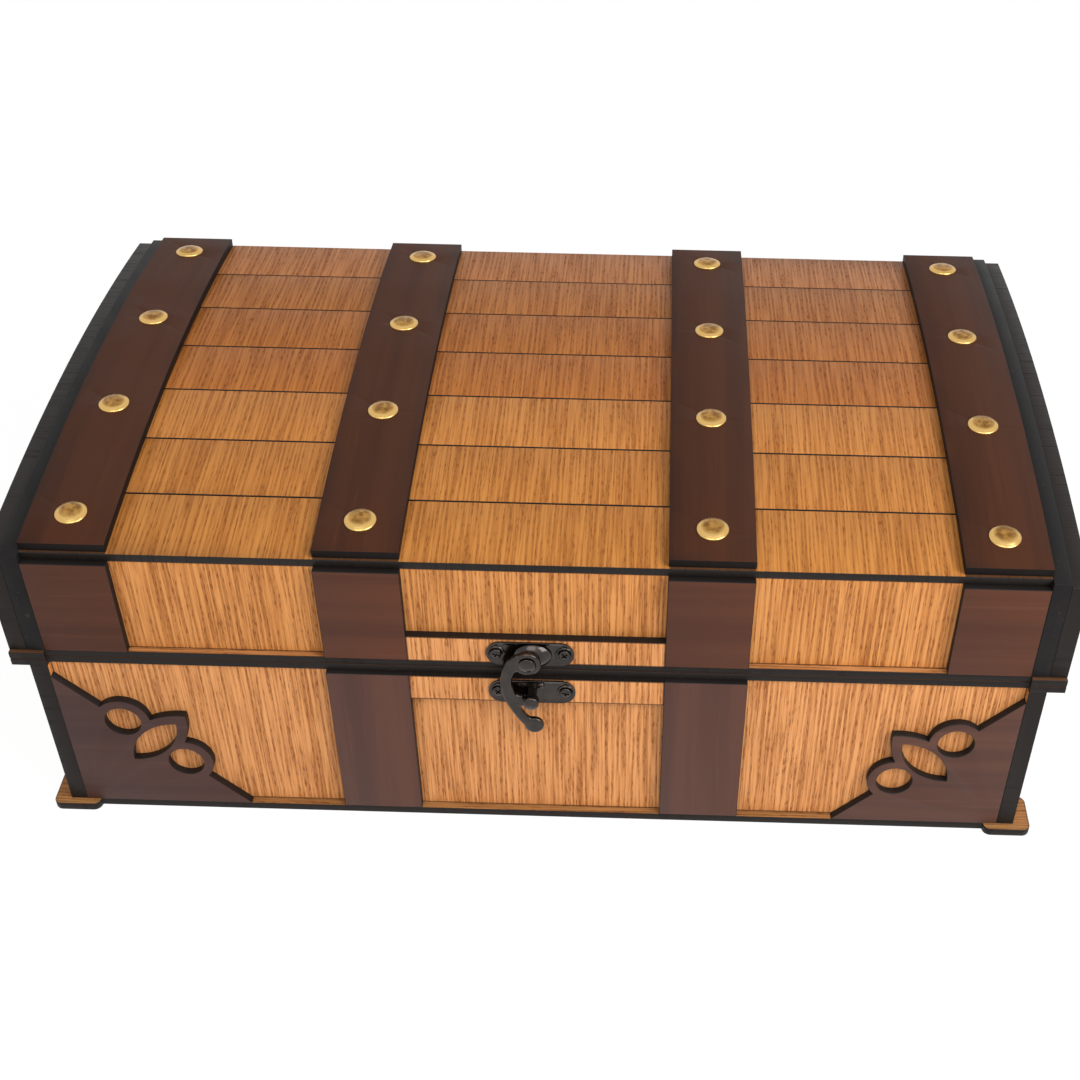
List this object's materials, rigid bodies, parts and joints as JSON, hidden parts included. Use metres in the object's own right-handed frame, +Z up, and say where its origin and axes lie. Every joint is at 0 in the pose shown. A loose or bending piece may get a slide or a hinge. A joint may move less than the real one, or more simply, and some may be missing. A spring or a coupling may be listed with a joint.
{
  "type": "storage chest",
  "caption": "Low wooden storage chest with a hinged arched slat lid, dark straps with brass studs, pierced corner ornaments and a swinging hook latch.",
  "frame": {"origin": "centre of the underside of the floor board, between its front, back and side edges", "axes": "+X to the right seen from the front, -Y towards the front with the latch, +Z up"},
  "size_m": [0.354, 0.2244, 0.1243],
  "materials": {
    "light_wood": "light veneered board, satin, fine straight grain, dark laser-cut edges",
    "dark_wood": "dark brown veneered board, matt, faint grain",
    "black_wood": "black stained board edge, satin, lightly scuffed",
    "brass": "polished domed nail head, slightly dulled",
    "antique_metal": "dark antique finish, satin, worn bright on the ridges"
  },
  "bodies": {
    "base": {"base_end_l": "black_wood", "base_end_r": "black_wood", "base_floor": "light_wood", "base_frame": "black_wood", "base_panel_back": "light_wood", "base_panel_front": "light_wood", "base_strap_back_l": "dark_wood", "base_strap_back_r": "dark_wood", "base_strap_front_l": "dark_wood", "base_strap_front_r": "dark_wood", "catch_plate": "antique_metal", "catch_post": "antique_metal", "catch_screws": "antique_metal", "corner_ornament_l": "dark_wood", "corner_ornament_r": "dark_wood", "hinge_leaf_base_l": "antique_metal", "hinge_leaf_base_r": "antique_metal", "hinge_pad_base_l": "light_wood", "hinge_pad_base_r": "light_wood", "hinge_pins": "antique_metal", "hinge_screws_base": "antique_metal", "latch_pad_base": "light_wood"},
    "lid": {"hinge_leaf_lid_l": "antique_metal", "hinge_leaf_lid_r": "antique_metal", "hinge_pad_lid_l": "light_wood", "hinge_pad_lid_r": "light_wood", "hinge_screws_lid": "antique_metal", "latch_pad_lid": "light_wood", "latch_plate": "antique_metal", "latch_rivet": "antique_metal", "latch_screws": "antique_metal", "lid_end_inner_l": "black_wood", "lid_end_inner_r": "black_wood", "lid_end_outer_l": "black_wood", "lid_end_outer_r": "black_wood", "lid_frame": "black_wood", "lid_panel_back": "light_wood", "lid_panel_front": "light_wood", "lid_slat_1": "light_wood", "lid_slat_2": "light_wood", "lid_slat_3": "light_wood", "lid_slat_4": "light_wood", "lid_slat_5": "light_wood", "lid_slat_6": "light_wood", "lid_slat_7": "light_wood", "lid_strap_1": "dark_wood", "lid_strap_2": "dark_wood", "lid_strap_3": "dark_wood", "lid_strap_4": "dark_wood", "lid_studs": "brass", "rim_strap_back_1": "dark_wood", "rim_strap_back_2": "dark_wood", "rim_strap_back_3": "dark_wood", "rim_strap_back_4": "dark_wood", "rim_strap_front_1": "dark_wood", "rim_strap_front_2": "dark_wood", "rim_strap_front_3": "dark_wood", "rim_strap_front_4": "dark_wood"},
    "hook": {"latch_hook": "antique_metal"}
  },
  "joints": [
    {"name": "lid_hinge", "type": "hinge", "parent": "base", "child": "lid", "pos_m": [0, 0.10855, 0.07075], "axis": [-1, 0, 0], "range_deg": [0, 105]},
    {"name": "hook_pivot", "type": "hinge", "parent": "lid", "child": "hook", "pos_m": [-0.0026, -0.109, 0.0776], "axis": [0, 1, 0], "range_deg": [0, 95]}
  ]
}
